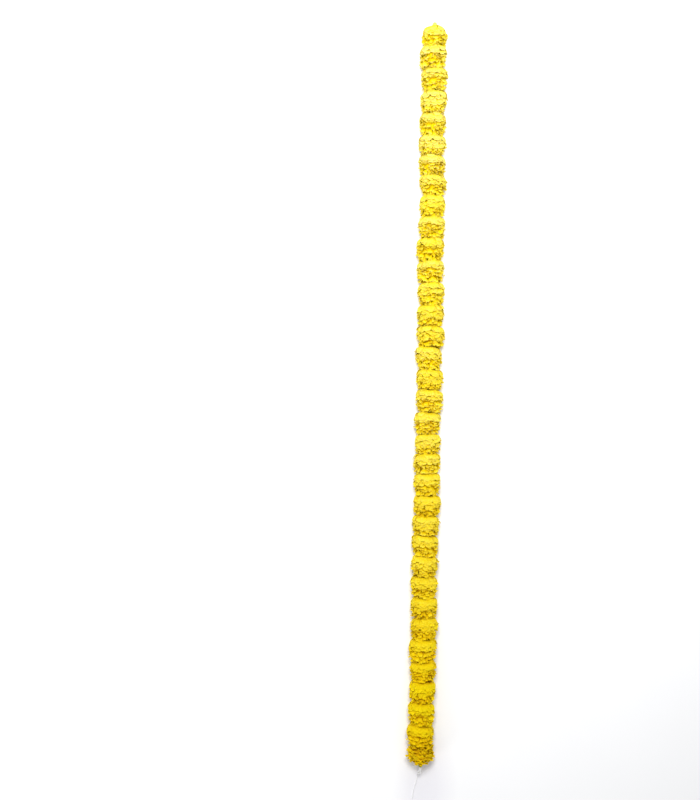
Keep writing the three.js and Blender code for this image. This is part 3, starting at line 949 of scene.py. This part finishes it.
def model_calyx():
    """A ring drawn out ring by ring to a cup, with every other column pressed in and the rim toothed."""
    bpy.ops.mesh.primitive_circle_add(vertices=CALYX_SIDES, radius=CALYX_RINGS[0][1] * MM,
                                      fill_type="NOTHING", rotation=(math.pi / 2, 0, 0))
    calyx = bpy.context.object
    calyx.name = "calyx_kind"
    bpy.ops.object.transform_apply(rotation=True)
    start_editing(calyx)
    bpy.ops.mesh.select_all(action="SELECT")
    nudge(y=CALYX_RINGS[0][0] * MM)
    for (height, radius), (next_height, next_radius) in zip(CALYX_RINGS, CALYX_RINGS[1:]):
        bpy.ops.mesh.extrude_region_move(
            TRANSFORM_OT_translate={"value": (0, (next_height - height) * MM, 0)})
        widen(next_radius / radius, 1, next_radius / radius)
    bpy.ops.mesh.edge_face_add()

    def at(vertex):
        """A vertex's ring and column."""
        return divmod(vertex.index, CALYX_SIDES)

    pick(calyx, lambda v: at(v)[0] == 0)
    bpy.ops.mesh.edge_face_add()
    pick(calyx, lambda v: CALYX_NECK < at(v)[0] <= CALYX_TEETH and at(v)[1] % 2)
    widen(1 - RIB_DEPTH, 1, 1 - RIB_DEPTH)
    pick(calyx, lambda v: at(v)[0] == CALYX_TEETH and at(v)[1] % 4 < 2)
    nudge(y=TOOTH_LENGTH * MM)
    bpy.ops.mesh.select_all(action="SELECT")
    bpy.ops.mesh.normals_make_consistent(inside=False)
    stop_editing()
    lowest = CALYX_RINGS[-1][0] * MM
    highest = CALYX_RINGS[CALYX_TOP][0] * MM
    layer = calyx.data.uv_layers[0]
    for face in calyx.data.polygons:
        places = [calyx.data.vertices[index].co for index in face.vertices]
        turns = [math.atan2(place.z, place.x) / (2 * math.pi) % 1 for place in places]
        wraps = max(turns) - min(turns) > 0.5
        for corner, place, turn in zip(face.loop_indices, places, turns):
            up = (place.y - lowest) / (highest - lowest)
            layer.data[corner].uv = (turn + (wraps and turn < 0.5), up)
    select_only(calyx)
    bpy.ops.object.shade_smooth_by_angle(angle=CALYX_SMOOTH_UNDER)
    paint(calyx, marigold_calyx)
    return calyx


calyx_kind = model_calyx()


# Lights and surface

SURFACE_SIZE = 14
ROOM_COLOUR = (0.97, 0.98, 1.0, 1)
ROOM_STRENGTH = 0.47
# Each lamp's name and place, the place that it is turned to, its size, power and colour
LAMPS = [
    ("window_past_the_hanging_end", (0, 1.35, 0.95), (0, 0.3, 0), 1.0, 6, (1, 1, 0.98)),
    ("lamp_by_the_camera", (-0.15, 0.66, 2.0), (-0.15, 0.66, 0), 0.8, 46.5, (1, 1, 1)),
    ("lamp_beside_the_loose_end", (-0.9, -1.35, 0.55), (0, -0.8, 0), 0.5, 2.4, (1, 1, 1)),
]


def set_up_stage():
    """The pale surface, a softly lit room and the lamps."""
    bpy.ops.mesh.primitive_plane_add(size=SURFACE_SIZE)
    surface = bpy.context.object
    surface.name = "pale_surface"
    paint(surface, pale_surface)

    world = bpy.data.worlds.new("soft_room")
    world.use_nodes = True
    background = world.node_tree.nodes["Background"]
    background.inputs["Color"].default_value = ROOM_COLOUR
    background.inputs["Strength"].default_value = ROOM_STRENGTH
    bpy.context.scene.world = world

    for name, place, target, size, power, colour in LAMPS:
        bpy.ops.object.light_add(type="AREA", location=place)
        light = bpy.context.object
        light.name = name
        light.rotation_euler = (Vector(target) - Vector(place)).to_track_quat("-Z", "Y").to_euler()
        light.data.shape = "SQUARE"
        light.data.size = size
        light.data.energy = power
        light.data.color = colour
    bpy.context.scene.view_settings.view_transform = "Standard"


set_up_stage()


# The heads in their places

PRESSED_UNDER = 2.6  # height under which petals are pressed against the surface
SQUARED_REACH = 20.5  # up and down from a head's middle
TONE_SPREAD = 0.45  # how much more golden or more lemon a head is than its kind
STRINGING_SEED = 35


def seeded_draws(seed):
    """Numbers from 0 to 1, the same as those that the frame's heads are drawn with."""
    state = seed
    whole = 0xFFFFFFFF
    while True:
        state = (state + 0x6D2B79F5) & whole
        mixed = (state ^ (state >> 15)) * (1 | state) & whole
        mixed = (mixed + ((mixed ^ (mixed >> 7)) * (61 | mixed) & whole)) & whole ^ mixed
        yield (mixed ^ (mixed >> 14)) / (whole + 1)


def strung_heads():
    """Where each head is and how it differs, from the hanging end down, in millimetres."""
    numbers = seeded_draws(ROW_SEED)

    def spread(amount):
        return amount * (2 * next(numbers) - 1)

    shares = [1 + spread(PITCH_SPREAD) for _ in range(HEADS)]
    limits = [HEADS * PITCH / 2]
    for share in shares:
        limits.append(limits[-1] - HEADS * PITCH * share / sum(shares))
    heads = []
    for index, (top, bottom) in enumerate(zip(limits, limits[1:])):
        is_last = index == HEADS - 1
        wave = LEAN_WAVE * math.sin(2 * math.pi * index / LEAN_WAVE_HEADS)
        head = {
            "middle": Vector(((thread_x(top) + thread_x(bottom)) / 2, (top + bottom) / 2, AXIS_HEIGHT)),
            "stretch": (top - bottom) / PITCH,
            "size": 1 + spread(SIZE_SPREAD),
            "turn": next(numbers) * 2 * math.pi,
            "shift": (spread(SHIFT_SPREAD), 0, spread(LIFT_SPREAD)),
            "lean": (0, 0) if is_last else (wave + spread(LEAN_SPREAD), spread(LEAN_SPREAD)),
            "slope": (thread_x(top) - thread_x(bottom)) / (top - bottom),
            "is_last": is_last,
        }
        for _ in range(TIP_DRAWS):
            next(numbers)
        heads.append(head)
    return heads


def pressed(points):
    """Points that would be under the surface or close to it, pressed flat on it."""
    height = points[:, 2]
    limit = PRESSED_UNDER * MM
    depth = (np.minimum(height, limit) - limit) / limit
    points[:, 2] = np.where(height < limit, limit * np.exp(depth), height)
    return points


def squared(points, power, is_at_end):
    """A head's points, brought from the middle heads' barrel to its own, the free end left as it is."""
    heights = np.clip(points[:, 1] / MM, -SQUARED_REACH, 0 if is_at_end else SQUARED_REACH)
    wider = barrel_radius(heights, power, power) / barrel_radius(heights, MIDDLE_POWER, MIDDLE_POWER)
    points[:, ::2] *= wider[:, None]
    return points


def tint(petals, shift):
    """Makes all petals of a head a little more golden or more lemon."""
    tone = petals.data.attributes["tone"].data
    values = np.empty(len(tone), np.float32)
    tone.foreach_get("value", values)
    tone.foreach_set("value", np.clip(values + shift, 0, 1))


def bring_to_place(head, petals, calyx):
    """Turns a head's petals and calyx, leans them on the thread and moves them to their place."""
    size, length = head["size"], head["stretch"]
    lean_x, lean_z = head["lean"]
    turned = Matrix.Rotation(-head["turn"], 4, "Y")
    sized = Matrix.Diagonal((size, length, size, 1)) @ turned
    leant = Matrix(((1, 0, 0, 0), (lean_x, 1, lean_z, 0), (0, 0, 1, 0), (0, 0, 0, 1)))
    sloped = Matrix(((1, head["slope"], 0, 0), (0, 1, 0, 0), (0, 0, 1, 0), (0, 0, 0, 1)))
    turned_round = Matrix.Rotation(math.pi if head["is_last"] else 0, 4, "Z")
    shift = Matrix.Translation(Vector(head["shift"]) * MM)
    place = Matrix.Translation(head["middle"] * MM) @ turned_round
    up_to_limit = Matrix.Translation((0, (length - 1) * PITCH / 2 * MM, 0))
    petals.data.transform(place @ shift @ sloped @ leant @ sized)
    calyx.data.transform(place @ sloped @ up_to_limit @ turned)


def string_heads():
    """Each head's petals and its calyx, on the thread and pressed on the surface."""
    draws = random.Random(STRINGING_SEED)
    for index, head in enumerate(strung_heads()):
        number = f"{index + 1:02d}"
        is_at_end = index in (0, HEADS - 1)
        kind = draws.choice(head_kinds)
        if is_at_end:
            kind = bottom_head if head["is_last"] else top_head
        petals = copy_of(kind, f"petals_{number}")
        tint(petals, draws.uniform(-TONE_SPREAD, TONE_SPREAD))
        power = TOP_POWER + (BOTTOM_POWER - TOP_POWER) * index / (HEADS - 1)
        set_points(petals.data, squared(points_of(petals.data), power, is_at_end))
        calyx = copy_of(calyx_kind, f"calyx_{number}")
        bring_to_place(head, petals, calyx)
        for piece, slot_name in ((petals, "petals"), (calyx, "calyx")):
            set_points(piece.data, pressed(points_of(piece.data)))
            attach(piece, "root")
        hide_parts(f"marigold_head_{number}")


string_heads()
for kind in (*head_kinds, top_head, bottom_head, calyx_kind):
    bpy.data.objects.remove(kind)
